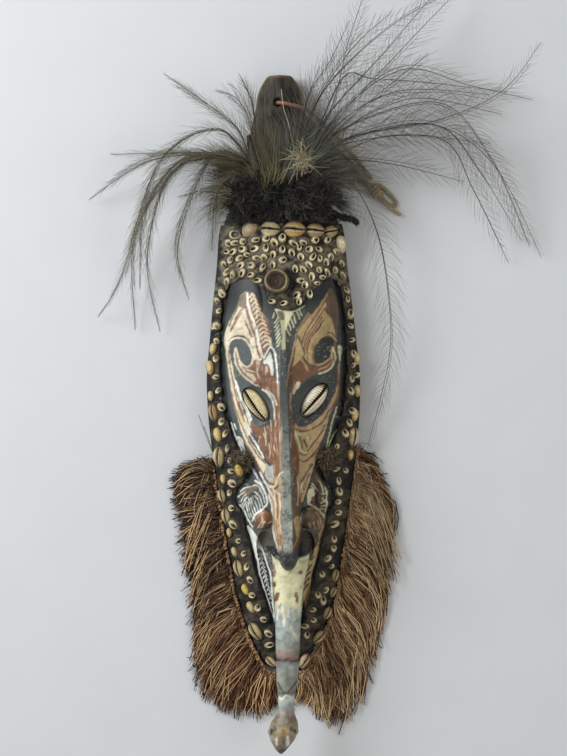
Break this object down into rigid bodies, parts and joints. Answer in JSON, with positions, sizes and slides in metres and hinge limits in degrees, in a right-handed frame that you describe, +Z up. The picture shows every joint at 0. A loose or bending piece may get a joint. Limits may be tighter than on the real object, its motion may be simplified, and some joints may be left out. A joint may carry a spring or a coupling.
{
  "type": "wall mask",
  "caption": "Long-nosed carved and painted wooden spirit mask with a shell-set paste rim, cowrie eyes, feather tufts, fibre fringes and a hanging cord; it lies face up.",
  "frame": {"origin": "on the ground under the middle of the mask, without its cord, as it lies face up on its back", "axes": "+X to the right as the viewer sees the face, +Y towards the hanging tab, +Z up, out of the face"},
  "size_m": [0.4366, 0.7284, 0.0794],
  "materials": {
    "wood": "painted carved wood, worn",
    "paste": "dark dried clay and resin paste",
    "shell": "cream to yellow sea shell",
    "fur": "black matted fur",
    "feather": "dark quills and grey-olive down",
    "fibre": "dry plant fibre",
    "cord": "braided plant-fibre cord"
  },
  "bodies": {
    "root": {"mask_wood": "wood", "shell_paste": "paste", "eye_left": "shell", "eye_right": "shell", "brow_cowrie_1": "shell", "brow_cowrie_2": "shell", "brow_cowrie_3": "shell", "brow_cowrie_4": "shell", "brow_cowrie_5": "shell", "brow_cowrie_6": "shell", "brow_cowrie_7": "shell", "rim_cowrie_left_1": "shell", "rim_cowrie_left_2": "shell", "rim_cowrie_left_3": "shell", "rim_cowrie_left_4": "shell", "rim_cowrie_left_5": "shell", "rim_cowrie_left_6": "shell", "rim_cowrie_left_7": "shell", "rim_cowrie_left_8": "shell", "rim_cowrie_left_9": "shell", "rim_cowrie_left_10": "shell", "rim_cowrie_left_11": "shell", "rim_cowrie_left_12": "shell", "rim_cowrie_left_13": "shell", "rim_cowrie_left_14": "shell", "rim_cowrie_left_15": "shell", "rim_cowrie_left_16": "shell", "rim_cowrie_left_17": "shell", "rim_cowrie_right_1": "shell", "rim_cowrie_right_2": "shell", "rim_cowrie_right_3": "shell", "rim_cowrie_right_4": "shell", "rim_cowrie_right_5": "shell", "rim_cowrie_right_6": "shell", "rim_cowrie_right_7": "shell", "rim_cowrie_right_8": "shell", "rim_cowrie_right_9": "shell", "rim_cowrie_right_10": "shell", "forehead_disc": "shell", "fur_band": "fur", "feather_tuft_left": "feather", "feather_tuft_right": "feather", "fringe_left": "fibre", "fringe_right": "fibre", "hanging_cord_front": "cord", "hanging_cord_back": "cord", "cord_knot": "cord"}
  },
  "joints": []
}
